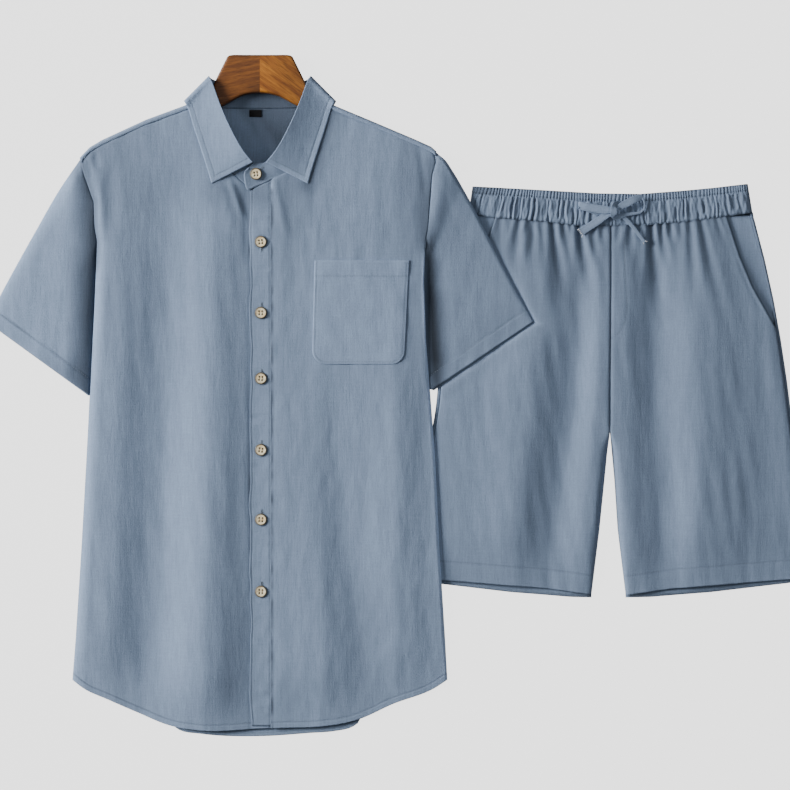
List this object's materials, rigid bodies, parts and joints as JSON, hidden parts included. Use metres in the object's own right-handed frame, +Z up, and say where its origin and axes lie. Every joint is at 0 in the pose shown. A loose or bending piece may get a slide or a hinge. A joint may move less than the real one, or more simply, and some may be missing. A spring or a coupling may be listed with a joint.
{
  "type": "short-sleeved button shirt on a wooden hanger with drawstring shorts",
  "caption": "Two-piece summer set laid flat: a short-sleeved button shirt with chest pocket on a wooden hanger, beside drawstring shorts partly under its sleeve.",
  "frame": {"origin": "centre of the laid-out set's footprint, on the surface it lies on", "axes": "+X from the shirt towards the shorts, +Y towards the collar, +Z up from the surface, out of the front of both garments"},
  "size_m": [1.0309, 0.855, 0.0291],
  "materials": {
    "cloth": "slate blue linen-like plain weave, matt",
    "cloth_back": "slate blue linen-like plain weave, matt, wrong side",
    "drawstring": "slate blue narrow sewn tape, matt",
    "button_wood": "pale turned wood, satin",
    "hanger_dark": "varnished reddish brown wood, darker half",
    "hanger_light": "varnished orange brown wood, lighter half",
    "label_black": "black woven label, bare"
  },
  "bodies": {
    "root": {"shirt_back": "cloth_back", "shirt_yoke": "cloth", "shirt_front_right": "cloth", "shirt_front_left": "cloth", "placket": "cloth", "sleeve_right": "cloth", "sleeve_left": "cloth", "collar_stand": "cloth", "collar_leaf": "cloth", "chest_pocket": "cloth", "neck_label": "label_black", "button_1": "button_wood", "button_2": "button_wood", "button_3": "button_wood", "button_4": "button_wood", "button_5": "button_wood", "button_6": "button_wood", "button_7": "button_wood", "hanger_right": "hanger_dark", "hanger_left": "hanger_light", "shorts_front_right": "cloth", "shorts_front_left": "cloth", "shorts_back_right": "cloth_back", "shorts_back_left": "cloth_back", "pocket_facing_right": "cloth", "pocket_facing_left": "cloth", "waistband_front": "cloth", "waistband_back": "cloth_back", "drawstring_right": "drawstring", "drawstring_left": "drawstring"}
  },
  "joints": []
}
